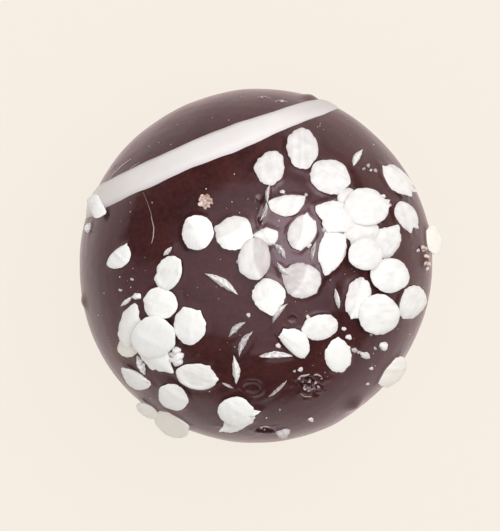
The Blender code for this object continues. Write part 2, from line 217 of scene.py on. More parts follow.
# The flakes. The lowest of a pile is at level 0
FLAKES = (
    row(1.2, 8.2, 2.85, 2.4, 78, 0.89, (180, 0.10, 9), (130, -0.08, 14), (280, 0.06, 9), (40, 0.03, 10)),
    row(3.9, 9.75, 3.4, 2.65, 96, 0.92, (150, 0.07, 10), (292, 0.14, 12), (25, 0.05, 12),
        (215, -0.05, 12)),
    row(6.1, 7.4, 3.4, 2.8, 145, 0.96, (300, 0.05, 14), (350, 0.05, 16)),
    row(2.6, 5.0, 3.1, 1.7, 8, 0.92, (20, 0.08, 10), (100, 0.10, 5), (62, -0.07, 8), outline="half",
        cream=0.1),
    row(-11.3, 0.65, 2.35, 1.45, 46, 0.97, (58, 0.14, 8), outline="half"),
    row(-4.8, 2.8, 2.9, 2.6, 90, 0.95, (130, 0.06, 10), (240, 0.05, 12), relief=120),
    row(-7.2, -0.6, 3.05, 2.1, 62, 0.97, (40, 0.06, 12), (190, 0.08, 8), (150, 0.06, 9), (170, -0.07, 6),
        (128, 0.05, 5), relief="dish", cream=0.05),
    row(-7.9, -3.1, 2.8, 2.65, 0, 1.0, (165, 0.06, 9), (300, 0.04, 10), cream=0.1),
    row(-8.6, -6.0, 3.6, 3.5, 60, 1.0, (20, 0.05, 12), (340, 0.06, 10), level=1),
    row(-8.35, -7.6, 3.6, 2.2, -42, 1.0, (318, 0.10, 9), (250, 0.05, 8), outline="drop", relief=-42),
    row(-10.5, -4.8, 3.8, 1.9, 80, 0.98, (60, 0.10, 9), (30, -0.10, 12), (200, 0.05, 8), outline="drop",
        relief=75, cream=0.1),
    row(-10.7, -6.8, 1.8, 1.7, 0, 1.0, (200, 0.10, 20), cream=0.7),
    row(-10.1, -9.6, 2.8, 1.5, -29, 1.0, (335, 0.14, 8), (150, 0.06, 8), outline="half", cream=0.1),
    row(-5.5, -5.0, 3.0, 2.65, 95, 1.0, (52, 0.13, 8), (110, 0.08, 8), (270, 0.05, 16)),
    row(-4.9, -9.2, 3.4, 2.1, -8, 0.85, (52, 0.14, 6), (358, 0.10, 7), (165, 0.06, 14), relief="dish",
        cream=0.1),
    row(-6.9, -11.0, 2.6, 2.2, -35, 1.0, (140, 0.05, 16), (350, 0.05, 12), cream=0.1),
    row(-7.1, -13.4, 3.2, 2.6, -28, 1.0, (10, 0.10, 8), (90, 0.08, 10), relief="dish", cream=0.6),
    row(-1.8, 2.7, 3.0, 2.8, 30, 0.93, (160, 0.17, 11), (350, 0.14, 9), (50, 0.05, 20), relief=27,
        cream=0.1),
    row(-0.1, 0.6, 3.5, 2.6, 78, 0.75, (215, 0.07, 12), (290, 0.05, 12), level=1, relief=-80),
    row(0.9, 2.4, 1.9, 1.4, 0, 0.93, (165, 0.22, 11), (30, 0.12, 14), (90, 0.1, 12)),
    row(3.8, 2.8, 3.05, 2.2, 60, 0.90, (78, 0.17, 6), (30, 0.1, 10), (275, 0.10, 8), relief=75),
    row(3.8, -1.2, 3.1, 3.0, 0, 0.73, (146, 0.14, 20), (200, -0.05, 20), relief=63),
    row(1.1, -2.6, 3.0, 2.7, -80, 0.94, (100, 0.05, 14), (330, 0.06, 8), outline="drop", relief=27,
        cream=0.1),
    row(6.5, 4.2, 3.6, 2.8, 155, 0.98, (240, 0.10, 6), (300, 0.08, 9), (195, -0.10, 16), outline="drop"),
    row(9.2, 4.9, 3.6, 3.1, -5, 0.98, (4, 0.10, 5), (17, 0.12, 5), (38, -0.08, 12), (120, 0.04, 18),
        level=1),
    row(7.4, 5.8, 1.5, 1.2, 45, 0.92),
    row(8.8, 2.9, 3.0, 2.2, 0, 0.95, (200, 0.10, 10), (240, 0.20, 7), (90, 0.05, 9)),
    row(11.0, 2.1, 3.1, 2.4, 55, 0.97, (0, 0.05, 12), (120, 0.05, 8), outline="drop"),
    row(9.2, 1.0, 3.1, 2.6, 12, 0.98, level=2),
    row(11.3, -0.8, 3.1, 2.95, 0, 0.99, level=1),
    row(6.3, 1.1, 4.0, 2.2, -105, 0.98, (120, 0.18, 8), (35, 0.12, 9), (95, -0.05, 9), outline="drop"),
    row(12.6, 4.2, 2.6, 1.8, -55, 0.97, (285, 0.20, 8), (322, 0.20, 7), (303, -0.14, 6)),
    row(11.9, 7.2, 3.2, 2.1, -43, 1.0, (300, 0.14, 8), (335, 0.18, 7), (318, -0.05, 6), (135, 0.14, 8),
        cream=0.1),
    row(8.6, -2.7, 3.35, 2.1, 75, 0.97, (80, 0.07, 16), (200, 0.05, 12), (250, 0.06, 9), relief=70),
    row(10.4, -4.1, 3.5, 3.4, 0, 1.0, (265, 0.03, 8), (290, 0.03, 8), level=1),
    row(13.25, -3.1, 2.9, 2.4, 60, 0.97, (240, 0.04, 12), cream=0.1),
    row(15.1, 2.2, 2.5, 1.6, 95, 1.0, (60, 0.1, 12), cream=0.7),
    row(3.4, -6.3, 2.9, 1.9, 136, 1.0, (118, 0.12, 6), (165, 0.10, 8), outline="half", relief=140),
    row(5.4, -5.1, 2.9, 2.2, 12, 0.96, (190, 0.10, 10), (60, 0.05, 12), (140, 0.05, 10), cream=0.1),
    row(6.9, -7.5, 2.7, 2.2, 90, 0.97, (88, 0.12, 7), (30, 0.08, 8), (290, 0.08, 9), (330, 0.05, 7),
        cream=0.1),
    row(-1.7, -12.15, 3.0, 2.3, 10, 1.0, (15, 0.08, 8), (340, -0.14, 8), level=1),
    row(-1.4, -13.0, 2.9, 1.5, 26, 0.98, (24, 0.12, 8), (206, 0.26, 9), (330, 0.12, 8)),
    row(11.8, -9.1, 3.1, 2.1, 50, 1.0, (200, 0.12, 14), (240, -0.08, 12), cream=0.6),
    row(-13.5, 5.05, 2.05, 1.15, -60, 1.0, outline="quad", level=1),
    row(-9.1, -12.25, 2.2, 1.15, -36, 0.95, cream=0.8),
)

# Slivers are flakes on edge, half sunk: x, y, length, thickness in mm, turn in degrees, bend, shade
SLIVER_STANDS = 0.5 * MM
SLIVER_SUNK = 0.8 * MM
SLIVER_SLENDER = 1.5
SLIVERS = (
    (1.1, 5.9, 1.7, 0.32, 83, 0.1, 0.85),
    (0.6, 4.5, 1.7, 0.36, 72, -0.1, 0.7),
    (-7.2, 1.2, 1.0, 0.35, 48, 0.0, 0.85),
    (-14.0, 3.2, 0.9, 0.35, 75, 0.0, 1.0),
    (1.9, 1.2, 1.7, 0.5, -52, 0.1, 0.75),
    (4.75, 1.2, 1.8, 0.34, 78, 0.04, 0.62),
    (2.0, -3.9, 2.0, 0.5, 53, 0.12, 0.75),
    (-2.8, -1.5, 3.2, 0.62, -33, 0.06, 0.88),
    (6.7, -2.7, 1.7, 0.38, 100, 0.0, 1.0),
    (8.4, 8.85, 1.75, 0.55, 60, 0.08, 1.0),
    (-0.4, -12.1, 1.7, 0.5, 8, 0.0, 1.0),
    (-1.5, -5.2, 1.9, 0.45, 42, 0.1, 0.72),
    (-0.8, -6.4, 2.4, 0.5, 62, 0.12, 0.72),
    (-1.7, -8.5, 2.4, 0.6, 95, -0.05, 1.0),
    (1.62, -7.4, 2.8, 0.5, 1, 0.05, 0.8),
    (-2.3, -9.8, 1.1, 0.16, -25, 0.0, 0.5),
    (1.8, -10.1, 2.1, 0.22, 42, -0.03, 0.55),
    (2.3, -0.2, 1.6, 0.42, -44, -0.12, 0.9),
    (-9.5, -8.2, 1.8, 0.6, 112, 0.0, 0.8),
    (-10.6, -2.9, 1.4, 0.35, 40, 0.0, 0.95),
)
SLIVER_SEEDS = (1000, 10)
SLIVER_SPOKES = 64
SLIVER_RINGS = 9
SLIVER_RAGGED = 0.03
SLIVER_TAPER = 0.3
SLIVER_GRAIN = 0.11
SLIVER_GRAIN_LENGTH = 0.3
SLIVER_MOTTLE = 0.13

# Crumbs of coconut: x, y, width in mm. Small ones are darker
CRUMB_SHADES = (0.6, 1.0)
SMALL_CRUMB = 0.32
SMALL_CRUMB_SHADES = (0.35, 0.8)
CRUMBS = (
    (-9.8, -2.5, 0.7), (-6.6, -7.0, 0.75), (-6.5, -7.7, 1.1), (-6.9, -7.3, 0.6), (10.7, -6.7, 0.8),
    (9.0, -7.4, 0.75), (9.25, -7.5, 0.6), (8.2, -7.0, 0.45), (8.6, -7.2, 0.3), (7.7, -5.9, 0.45),
    (7.3, -5.2, 0.35), (4.35, 1.7, 0.4), (-8.9, -9.6, 0.4), (3.7, -8.55, 0.4), (3.2, -8.7, 0.25),
    (-1.4, 0.4, 0.35), (-1.5, 0.3, 0.2), (-0.6, -4.0, 0.35), (4.3, -4.2, 0.35), (1.9, 3.7, 0.25),
    (2.2, 6.1, 0.35), (4.1, 5.8, 0.3), (8.9, 8.0, 0.3), (9.3, 8.3, 0.3), (9.5, 7.9, 0.25),
    (9.9, 7.9, 0.3), (4.6, -12.8, 0.45), (2.0, -11.9, 0.2), (0.9, -12.6, 0.15), (9.4, -9.9, 0.35),
    (9.7, -8.6, 0.35), (14.4, -0.2, 0.4), (13.6, 1.3, 0.3), (-10.2, -1.1, 0.3), (-11.2, -2.0, 0.3),
    (9.6, -5.7, 0.3), (10.0, -6.9, 0.25), (2.2, 13.75, 0.3), (0.5, 14.1, 0.25), (2.3, -13.9, 1.1),
    (5.6, 3.0, 0.55), (10.5, 5.75, 0.4), (10.85, 5.35, 0.5), (11.1, 5.05, 0.3), (10.5, 4.95, 0.4),
    (1.85, -6.55, 0.4),
)

# Toasted crumbs: x, y, width in mm, number of grains. The outer grains lie lower
TAN_CRUMBS = (
    (-4.1, 5.3, 1.35, 16),
    (14.0, 1.45, 0.5, 3),
    (14.2, 0.75, 0.5, 3),
    (14.25, 0.15, 0.3, 2),
)
TAN_GRAIN = (0.28 * MM, 0.42 * MM)
TAN_SPREAD = 0.40
TAN_DROP = 0.9

# Fine specks of coconut dust, strewn over a share of the area seen from above. Widths are in mm
SPECK_COUNT = 150
SPECK_AREA = 0.93
SPECK_WIDTHS = (0.04, 0.13)
SPECK_SHADES = (0.3, 0.8)

# Lumps: height as a share of the width, spokes, rings. Then chance ranges for all of them: waves round,
# waves down, phases of the waves, and the width one way as a share of the other
CRUMB_LUMP = (0.45, 18, 8)
SPECK_LUMP = (0.5, 8, 4)
GRAIN_LUMP = (0.5, 16, 7)
CRYSTAL_LUMP = (0.6, 6, 2)
LUMP_ROUND = (0.05, 0.22)
LUMP_DOWN = (0.03, 0.12)
LUMP_PHASES = (0.0, 6.0)
LUMP_ACROSS = (0.75, 1.0)

# Bumps of covered crumbs at the rim: x, y, width in mm
BUMP_HEIGHT = 0.22
BUMPS = (
    (-14.9, -3.1, 1.2),
    (4.7, 14.5, 1.4),
    (8.3, -11.7, 1.6),
    (14.3, 0.6, 1.3),
)

# Dents in the chocolate: x, y, length, width in mm, turn in degrees, depth in mm, height of the raised lip
# in mm, raggedness
DENTS = (
    (-0.3, -10.0, 1.5, 1.0, -8, 0.10, 0.14, 0.04),
    (4.55, -9.95, 1.8, 1.45, -6, 0.45, 0.11, 0.30),
    (0.8, -13.7, 1.4, 0.7, -5, 0.35, 0.10, 0.20),
    (1.9, -7.6, 2.4, 0.5, 4, 0.12, 0.0, 0.05),
    (-2.95, -1.8, 2.4, 0.3, -33, 0.08, 0.0, 0.05),
    (0.3, 5.5, 0.5, 0.4, 0, 0.14, 0.04, 0.2),
    (0.35, 3.75, 0.5, 0.4, 70, 0.16, 0.03, 0.2),
    (-4.9, -7.3, 0.5, 0.4, 0, 0.05, 0.03, 0.0),
    (3.0, -4.35, 0.8, 0.6, 0, 0.05, 0.05, 0.1),
)
DENT_GRAIN = 0.8 * MM
DENT_LIMITS = (0.7, 1.5)
DENT_POWER = 4
LIP_AT = 1.18
LIP_WIDTH = 0.24
SPOT_REACH = 2.0 * MM

# Sugar crystals in the pits and on their rims: x, y, size and depth in mm
CRYSTALS = (
    (4.15, -10.1, 0.55, 0.14),
    (4.45, -9.6, 0.36, 0.20),
    (5.0, -9.7, 0.42, 0.14),
    (4.8, -10.3, 0.32, 0.26),
    (3.9, -9.65, 0.30, 0.16),
    (4.4, -10.5, 0.30, 0.16),
    (4.75, -9.95, 0.26, 0.26),
    (5.25, -10.1, 0.24, 0.12),
    (3.58, -9.3, 0.32, 0.04),
    (5.45, -9.3, 0.26, 0.04),
    (5.95, -9.15, 0.14, 0.0),
    (5.75, -8.85, 0.10, 0.0),
    (0.42, -13.5, 0.36, 0.06),
    (1.25, -13.55, 0.22, 0.06),
    (0.75, -13.75, 0.20, 0.16),
)

# Threads half sunk in the coat: two coconut hairs, then light threads on the coat's sharp seams, on a ridge
# near the top, on the rim of a bubble and on the rims of the pits, which are painted highlights where the
# chocolate catches the light.
# Width in mm, shade, creaminess, and points x, y in mm
THREADS = (
    (0.05, 0.15, 0.0, ((-9.4, 6.2), (-9.0, 5.3), (-8.65, 4.3), (-8.5, 3.4))),
    (0.08, 0.34, 0.0, ((-8.7, 4.2), (-8.42, 3.2), (-8.45, 2.4), (-8.6, 1.8))),
    (0.11, 0.33, 0.1, ((-12.6, 6.9), (-12.0, 7.7), (-11.3, 8.4), (-10.4, 9.05))),
    (0.08, 0.24, 0.1, ((-12.3, 7.9), (-11.9, 8.4), (-11.45, 8.75))),
    (0.07, 0.22, 0.1, ((-11.0, 7.55), (-10.4, 8.25), (-9.7, 8.7))),
    (0.09, 0.30, 0.0, ((0.1, 14.15), (0.7, 14.2), (1.3, 14.05))),
    (0.08, 0.36, 0.0, ((1.6, 13.75), (2.1, 13.85), (2.7, 13.7))),
    (0.07, 0.22, 0.2, ((0.62, -9.55), (0.58, -10.0), (0.2, -10.45))),
    (0.15, 0.34, 0.1, ((3.5, -9.35), (3.75, -9.1), (4.2, -9.05), (4.5, -8.95))),
    (0.13, 0.38, 0.1, ((4.75, -9.05), (5.1, -9.0), (5.5, -9.2))),
    (0.09, 0.20, 0.1, ((3.65, -10.55), (4.1, -10.85), (4.75, -10.85))),
    (0.10, 0.36, 0.1, ((0.3, -13.45), (0.8, -13.35), (1.25, -13.45))),
)
THREAD_STATIONS = 60
THREAD_SMOOTH = 9
THREAD_SPOKES = 10
THREAD_TAPER = 0.4
THREAD_SHOWS = 0.35

# Noise of each material: waves of grain and of clouds per metre, height and strength of the grain's relief
TEXTURES = {
    "Dark chocolate": (2600.0, 330.0, 0.012 * MM, 0.5),
    "White chocolate": (6000.0, 500.0, 0.008 * MM, 0.5),
    "Coconut": (5200.0, 1500.0, 0.04 * MM, 0.9),
    "Toasted crumb": (7000.0, 1600.0, 0.03 * MM, 0.6),
    "Sugar crystal": (9000.0, 2500.0, 0.01 * MM, 0.4),
}

# Both noises: name, detail, roughness. Their masks lie mostly between the low and the high value
NOISES = (("Grain", 3.0, 0.6), ("Clouds", 2.0, 0.5))
MASK_LOW = 0.3
MASK_HIGH = 0.7

# Positions on colour ramps, some with a share of the colour or a colour of their own, and ranges of
# roughness, the chocolate's as shares of its setting
CHOCOLATE_STOPS = ((0.36, 0.75), (0.64, 1.5))
CHOCOLATE_ROUGHNESS = (0.85, 1.2)
BLOOM_ROUGHNESS = 0.4
WHITE_STOPS = ((0.3, 0.95), (0.7, 1.0))
WHITE_ROUGHNESS = (0.30, 0.45)
COCONUT_STOPS = (0.0, 0.6, 0.97)
COCONUT_ROUGHNESS = (0.45, 0.7)
COCONUT_MOTTLE = 0.07
COCONUT_GRAIN = 0.04
TAN_STOPS = (0.3, 0.65)
TAN_DARK = 0.5
TAN_ROUGHNESS = (0.25, 0.5)
SUGAR_STOPS = ((0.42, (0.07, 0.035, 0.035)), (0.62, (0.72, 0.60, 0.58)))
SUGAR_ROUGHNESS = (0.08, 0.2)

FLOOR_SIZE = 1.2
FLOOR_ROUGHNESS = 0.9
SKY_COLOUR = (1.0, 0.97, 0.98)
VIEW_MIDDLE = (-0.47 * MM, 0.04 * MM)
SENSOR = 36.0
CLIP_START = 0.01

# Soft round lights: name, setting of the brightness, diameter in m, tilt from straight above and heading
# in degrees
LAMPS = (
    ("broad light", "broad_radiance", 1.15, 4, 30),
    ("core light", "core_radiance", 0.40, 24, 33),
    ("left fill light", "fill_radiance", 0.45, 72, 203),
    ("upper fill light", "fill_radiance", 0.45, 66, 66),
)


def bell(away, width=1.0):
    """A soft peak of height 1 at nought."""
    return np.exp(-((away / width) ** 2))


def turned(x, y, angle):
    """Offsets turned anticlockwise by an angle."""
    cos, sin = math.cos(angle), math.sin(angle)
    return x * cos - y * sin, x * sin + y * cos


def points_of(x, y, z):
    """An array of points from their coordinates."""
    return np.stack(np.broadcast_arrays(x, y, z), axis=-1)


def spoke_angles(count):
    """Angles of the spokes of a ring, in the sense in which faces point outwards."""
    return -np.arange(count)[None] * math.tau / count


def ripple(points, length, seed):
    """Smooth chance waves through space, about the given length apart and about 1 high."""
    rng = np.random.default_rng(seed)
    total = 0.0
    for _ in range(RIPPLE_WAVES):
        heading = rng.normal(size=3)
        heading *= math.tau / (length * rng.uniform(*RIPPLE_SPREAD) * np.linalg.norm(heading))
        total = total + np.sin(points @ heading + rng.uniform(0.0, math.tau))
    return total / math.sqrt(RIPPLE_WAVES / 2)


def ball_points(longitude, polar):
    """Points on the uneven ball. The polar angle runs from 0 at the crown."""
    swell = 0.0
    for share, round_waves, down_waves, phase in SWELLS:
        turn = round_waves * (longitude - math.radians(phase))
        swell = swell + share * np.cos(turn) * np.sin(down_waves * polar)
    height = WIDEST + RISE * np.cos(polar)
    out = RADIUS * np.sin(polar) * (1.0 + swell)
    out = out + FOOT * np.exp(-height / FOOT_HEIGHT) * (polar > math.pi / 2)
    return points_of(out * np.cos(longitude), out * np.sin(longitude), height)


def ball_normals(points):
    """Outward normals of the true ellipsoid at points of the ball."""
    normal = (points - WIDEST * UP) / np.array((RADIUS ** 2, RADIUS ** 2, RISE ** 2))
    return normal / np.linalg.norm(normal, axis=-1, keepdims=True)


class Seat:
    """A place on the ball as seen from above, with the plane in which a flake lies there."""

    def __init__(self, x, y):
        longitude = math.atan2(y, x)
        seen = math.hypot(x, y)
        share = min(seen / RADIUS, RIM)
        polar = math.asin(share)
        outward = np.array((math.cos(longitude), math.sin(longitude), 0.0))
        slope = math.atan2(math.sin(polar) / RADIUS, math.cos(polar) / RISE)
        lean = LEAN_LIMIT * math.tanh(slope / LEAN_LIMIT)
        self.longitude = longitude
        self.lean = lean
        self.excess = slope - lean
        self.centre = ball_points(longitude, polar) + outward * (seen - RADIUS * share)
        self.normal = outward * math.sin(lean) + UP * math.cos(lean)
        self.downhill = outward * math.cos(lean) - UP * math.sin(lean)
        self.sideways = np.array((-outward[1], outward[0], 0.0))
        self.stretch = min(1.0 / math.cos(lean), STRETCH_LIMIT)

    def points(self, x, y, height):
        """World points for offsets seen from above and heights over the flake's own plane."""
        down, side = turned(x, y, -self.longitude)
        return (
            self.centre
            + (down * self.stretch)[..., None] * self.downhill
            + side[..., None] * self.sideways
            + (height + 0.0 * x)[..., None] * self.normal
        )

    def offsets(self, points):
        """The offsets seen from above of world points, and their heights over the flake's plane."""
        apart = points - self.centre
        down = apart @ self.downhill / self.stretch
        return *turned(down, apart @ self.sideways, self.longitude), apart @ self.normal


class Shells:
    """Closed shells, each of rings of points between two poles, gathered to one mesh."""

    def __init__(self):
        self.points = []
        self.faces = []
        self.tints = {"shade": [], "cream": []}
        self.count = 0

    def add(self, rings, shade=1.0, cream=0.0, poles=None):
        """Add rings of equally many points, between poles that else are the middles of the end rings."""
        first, last = (rings[0].mean(axis=0), rings[-1].mean(axis=0)) if poles is None else poles
        ring_count, spokes = rings.shape[:2]
        total = ring_count * spokes + 2
        self.points.append(np.concatenate((first[None], rings.reshape(-1, 3), last[None])))
        for name, tint in (("shade", shade), ("cream", cream)):
            tint = np.broadcast_to(tint, rings.shape[:2])
            ends = ([tint[0].mean()], tint.ravel(), [tint[-1].mean()])
            self.tints[name].append(np.concatenate(ends))
        index = self.count + 1 + np.arange(ring_count * spokes).reshape(ring_count, spokes)
        following = np.roll(index, -1, axis=1)
        quads = np.stack((index[:-1], index[1:], following[1:], following[:-1]), axis=-1)
        self.faces.extend(quads.reshape(-1, 4).tolist())
        end = self.count + total - 1
        self.faces.extend((self.count, a, b) for a, b in zip(index[0].tolist(), following[0].tolist()))
        self.faces.extend((end, b, a) for a, b in zip(index[-1].tolist(), following[-1].tolist()))
        self.count += total

    def made(self, name, material, smooth=True):
        """Make the gathered mesh a piece of the candy."""
        mesh = bpy.data.meshes.new(name)
        mesh.from_pydata(np.concatenate(self.points), [], self.faces)
        for tint, values in self.tints.items():
            attribute = mesh.attributes.new(tint, "FLOAT", "POINT")
            attribute.data.foreach_set("value", np.concatenate(values).astype(np.float32))
        if smooth:
            mesh.shade_smooth()
        mesh.materials.append(material)
        piece = bpy.data.objects.new(name, mesh)
        bpy.context.scene.collection.objects.link(piece)
        dress(piece)


def dress(piece):
    """Hide the part of the model that the piece stands for, and attach the piece to its body."""
    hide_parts(NODE)
    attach(piece, BODY)


def edge_wave(rng, strength, scallops=0.0, lopsided=0.0):
    """A ragged closed wave round an outline, with small pointed scallops, as a function of the angle."""
    waves = []
    for n in RAGGED_WAVES:
        waves.append((n, rng.uniform(-1, 1) * strength / n ** RAGGED_FALL, rng.uniform(0, math.tau)))
    for n in LOPSIDED_WAVES:
        waves.append((n, rng.uniform(-1, 1) * lopsided / n, rng.uniform(0, math.tau)))
    cusps = []
    for _ in range(3):
        cusps.append((rng.choice(SCALLOP_ROUNDS) / 2, rng.uniform(*SCALLOP_SIZES), rng.uniform(0, math.tau)))

    def wave(angle):
        total = sum(size * np.cos(n * angle + phase) for n, size, phase in waves)
        for half_count, size, phase in cusps:
            around = np.abs(np.sin(half_count * ((angle + phase) % math.tau)))
            fade = np.abs(np.sin((angle + phase) / 2))
            total = total - scallops * size * (around - MEAN_OF_SINE) * fade
        return total
    return wave


def nub_wave(nubs, turn):
    """Raised nubs and notches round an outline, given by direction as seen from above."""
    def wave(angle):
        total = 0.0 * angle
        for direction, share, spread in nubs:
            away = (angle - math.radians(direction - turn) + math.pi) % math.tau - math.pi
            total = total + share * bell(away, math.radians(spread))
        return total
    return wave


class Flake:
    """One flake's place, outline and relief."""

    def __init__(self, index, spec):
        x, y, length, width, turn, outline, level, relief, shade, cream, nubs = spec
        rng = random.Random(FLAKE_SEED + index)
        self.length = length * MM
        self.width = width * MM
        self.level = level
        self.seat = Seat(x * MM, y * MM)
        inwards = self.lift(SEEN_HEIGHT) * math.sin(self.seat.lean) / math.hypot(x, y)
        self.seat = Seat(x * (MM - inwards), y * (MM - inwards))
        self.turn = math.radians(turn)
        self.flat = HALF_MOON if outline == "half" else 1.0
        self.tip = DROP_TIP if outline == "drop" else 0.0
        self.relief = relief
        # Painted light and shade: the shade falls across the candy towards the upper right, where the light
        # is strongest
        self.shade = shade - PAINTED_LIGHT_SLOPE * (x + y)
        self.cream = cream
        self.tipped = [TIPPING * math.sin(phase * index) for phase in TIPPING_PHASES]
        self.rim_heading = rng.uniform(0.0, math.tau)
        self.flatness = rng.uniform(*FLATNESS)
        self.fold_heading = rng.uniform(0.0, math.pi)
        self.fold_offset = rng.uniform(-0.5, 0.5)
        self.curl = rng.uniform(-1.0, 1.0) * FLAKE_CURL
        self.warps = [(n, rng.uniform(-1.0, 1.0) / n, rng.uniform(0.0, math.tau)) for n in CHANCE_WAVES]
        self.seed = rng.randrange(SEED_RANGE)
        rough = SMOOTH_FLAKE if level > 0 or relief == "dish" else rng.uniform(*ROUGH_FLAKE)
        ragged = edge_wave(rng, rough * FLAKE_RAGGED, rough * FLAKE_SCALLOPS, FLAKE_LOPSIDED)
        nubbed = nub_wave(nubs, turn)
        power = QUAD_POWER if outline == "quad" else 2.0

        def reach(angle):
            rounded = (np.abs(np.cos(angle)) ** power + np.abs(np.sin(angle)) ** power) ** (-1.0 / power)
            return rounded + ragged(angle) + nubbed(angle)
        self.reach = reach

    def local(self, share, angle):
        """Offsets in the flake's own length and width directions for a share of the way to the edge."""
        reach = share * (1.0 + (self.reach(angle) - 1.0) * share ** 3)
        along = reach * np.cos(angle)
        across = reach * np.sin(angle)
        across = np.where(across > 0.0, across * self.flat, across)
        along = np.where(along > 0.0, along * (1.0 + self.tip * bell(across, TIP_SHARPNESS)), along)
        along = (along - self.tip / 2) / (1.0 + self.tip / 2)
        across = (across + (1.0 - self.flat) / 2) * 2 / (1.0 + self.flat)
        return along * self.length / 2, across * self.width / 2

    def edge_distance(self, points):
        """How far points lie outside the flake's outline, negative inside it."""
        x, y, _ = self.seat.offsets(points)
        along, across = turned(x, y, -self.turn)
        along = along / (self.length / 2) * (1.0 + self.tip / 2) + self.tip / 2
        across = across / (self.width / 2) * (1.0 + self.flat) / 2 - (1.0 - self.flat) / 2
        along = np.where(along > 0.0, along / (1.0 + self.tip * bell(across, TIP_SHARPNESS)), along)
        across = np.where(across > 0.0, across / self.flat, across)
        share = np.hypot(along, across) / self.reach(np.arctan2(across, along))
        return (share - 1.0) * self.width / 2

    def lift(self, base_lift):
        """Height of the flake's edge over its seat's plane, more in a pile and where the ball is steep."""
        return base_lift + self.level * LEVEL_STEP + math.sin(self.seat.excess) * self.width * RIM_LIFT


def ball_rings(settings):
    """Rings of the chocolate ball with its slow waves, the fillets at the flakes, its dents and bumps."""
    cap = CAP_POLAR * np.arange(1, CAP_RINGS + 1) / CAP_RINGS
    foot = np.array([math.acos((level * MM - WIDEST) / RISE) for level in FOOT_LEVELS])
    lower = np.linspace(CAP_POLAR, foot[0], LOWER_RINGS + 1)[1:-1]
    longitude = np.arange(BALL_SPOKES) * math.tau / BALL_SPOKES
    points = ball_points(*np.meshgrid(longitude, np.concatenate((cap, lower, foot))))
    raised = settings.undulation * ripple(points, settings.undulation_length, SEED)
    finer = ripple(points, settings.undulation_length / FINE_TIMES, SEED + 1)
    raised += FINE_SHARE * settings.undulation * finer
    raised *= np.clip((points[..., 2] - PLAIN_BELOW) / PLAIN_FADE, 0.0, 1.0)

    for index, spec in enumerate(FLAKES):
        flake = Flake(index, spec)
        if flake.level > 0:
            continue
        near = np.linalg.norm(points - flake.seat.centre, axis=-1) < flake.length
        distance = flake.edge_distance(points[near])
        fall = np.where(distance > 0.0, settings.fillet_width, settings.fillet_width * FILLET_INSIDE)
        raised[near] += settings.fillet_height * bell(distance, fall)
        raised[near] -= COAT_LOWER * (distance < -settings.fillet_width)
    for x, y, length, width, turn, _, _ in SLIVERS:
        seat = Seat(x * MM, y * MM)
        near = np.linalg.norm(points - seat.centre, axis=-1) < length * MM
        longer, wider = SLIVER_MARGINS
        away = spot_distance(points[near], seat, length + longer, width + wider, turn)
        raised[near] += SLIVER_FILLET * settings.fillet_height * bell(away - 1.0, SLIVER_FILLET_WIDTH)

    for x, y, length, width, turn, depth, lip, rough in DENTS:
        away = spot_distance(points, Seat(x * MM, y * MM), length, width, turn)
        away = away * np.clip(1.0 + rough * ripple(points, DENT_GRAIN, SEED + 2), *DENT_LIMITS)
        raised -= depth * MM * np.exp(-(away ** DENT_POWER))
        raised += lip * MM * bell(away - LIP_AT, LIP_WIDTH)
    for x, y, width in BUMPS:
        away = spot_distance(points, Seat(x * MM, y * MM), width, width, 0.0)
        raised += BUMP_HEIGHT * width * MM * bell(away)
    return points + ball_normals(points) * raised[..., None]


def spot_distance(points, seat, length, width, turn):
    """Distance from a spot's middle as a share of its half size. The size is in mm."""
    x, y, height = seat.offsets(points)
    along, across = turned(x, y, -math.radians(turn))
    along = along / (length * MM / 2)
    across = across / (width * MM / 2)
    return np.sqrt(along ** 2 + across ** 2 + (height / SPOT_REACH) ** 2)


def stripe_rings(half_width, height):
    """Rings of the stripe from end to end, each a flat band's section on the ball, and their shades."""
    along = np.linspace(-1.0, 1.0, STRIPE_STATIONS)[:, None]
    turn = along * (math.pi / 2 + STRIPE_WRAP)
    ahead = math.sqrt(RADIUS ** 2 - STRIPE_OFFSET ** 2) * np.sin(turn)
    narrowed = np.maximum(0.0, ahead - STRIPE_NARROWS_FROM) / (RADIUS - STRIPE_NARROWS_FROM)
    half = half_width + (STRIPE_HALF_WIDTH_END - half_width) * narrowed
    half = half * np.sqrt(np.clip(1.0 - np.abs(along) ** STRIPE_TIP_POWER, STRIPE_TIP_LEAST, 1.0))
    around = spoke_angles(STRIPE_SPOKES)
    across = np.sign(np.cos(around)) * np.abs(np.cos(around)) ** STRIPE_SIDE_POWER
    edge = 0.0
    for size, wave_length, phase in STRIPE_WAVES:
        edge = edge + size * np.sin(ahead / wave_length + phase + np.sign(across))
    aside = STRIPE_OFFSET - STRIPE_BEND * ahead ** 2 + across * half * (1.0 + edge)
    ring = np.sqrt(RADIUS ** 2 - aside ** 2)
    x, y = turned(ring * np.sin(turn), aside, STRIPE_HEADING)
    on_ball = ball_points(np.arctan2(y, x), np.arccos(ring / RADIUS * np.cos(turn)))
    end_fade = 1.0 - np.abs(along) ** STRIPE_END_POWER
    top = height * end_fade - (height + STRIPE_DIP) * np.abs(across) ** STRIPE_EDGE_POWER
    top = top + STRIPE_RIPPLE * ripple(on_ball, STRIPE_RIPPLE_LENGTH, SEED + 3) * (1.0 - across ** 2)
    below = -STRIPE_SUNK * (1.0 - across ** 4) - STRIPE_DIP
    lift = np.where(np.sin(around) < 0.0, top, below)
    thin = np.clip((np.abs(across) - THIN_FROM) / (1.0 - THIN_FROM), 0.0, 1.0) ** THIN_POWER
    thin = thin * np.where(across > 0.0, 1.0, THIN_CROWN_SIDE)
    # Painted shade: towards its far end, which faces the light, the stripe is darker
    far = END_PAINTED_SHADE * np.clip((ahead - END_SHADE_FROM) / END_SHADE_LENGTH, 0.0, 1.0)
    return on_ball + ball_normals(on_ball) * lift[..., None], 1.0 - np.maximum(thin, far)


